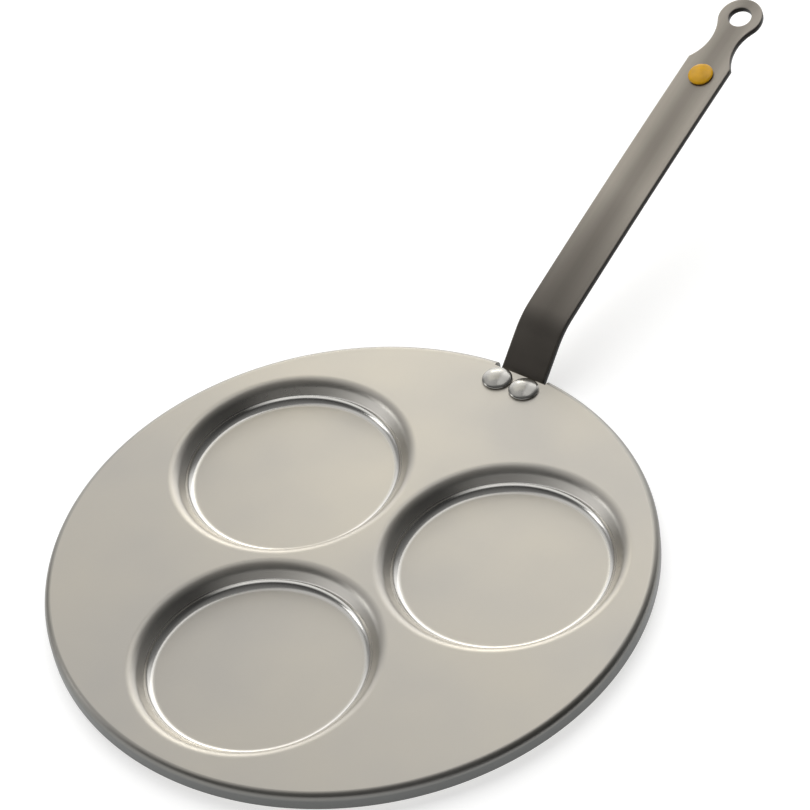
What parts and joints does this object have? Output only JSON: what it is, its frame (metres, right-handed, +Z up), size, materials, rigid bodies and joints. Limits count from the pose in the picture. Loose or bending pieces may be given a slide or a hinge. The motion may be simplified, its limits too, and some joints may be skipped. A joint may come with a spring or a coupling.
{
  "type": "multi-well pan",
  "caption": "Flat round steel pan with shallow round wells pressed into its plate, a turned-down rim and a riveted strap handle that ends in a hanging eye.",
  "frame": {"origin": "centre of the plate's top face, midway between the wells", "axes": "+Z up out of the plate, +X out along the handle"},
  "size_m": [0.4721, 0.2698, 0.0851],
  "materials": {
    "sheet_steel": "bare pressed carbon steel, satin",
    "strap_steel": "flat rolled steel, satin, dark cut edges",
    "rivet_steel": "polished steel",
    "stud_yellow": "glossy golden yellow"
  },
  "bodies": {
    "root": {"pan_body": "sheet_steel", "handle": "strap_steel", "rivet_left": "rivet_steel", "rivet_right": "rivet_steel", "badge_stud": "stud_yellow"}
  },
  "joints": []
}
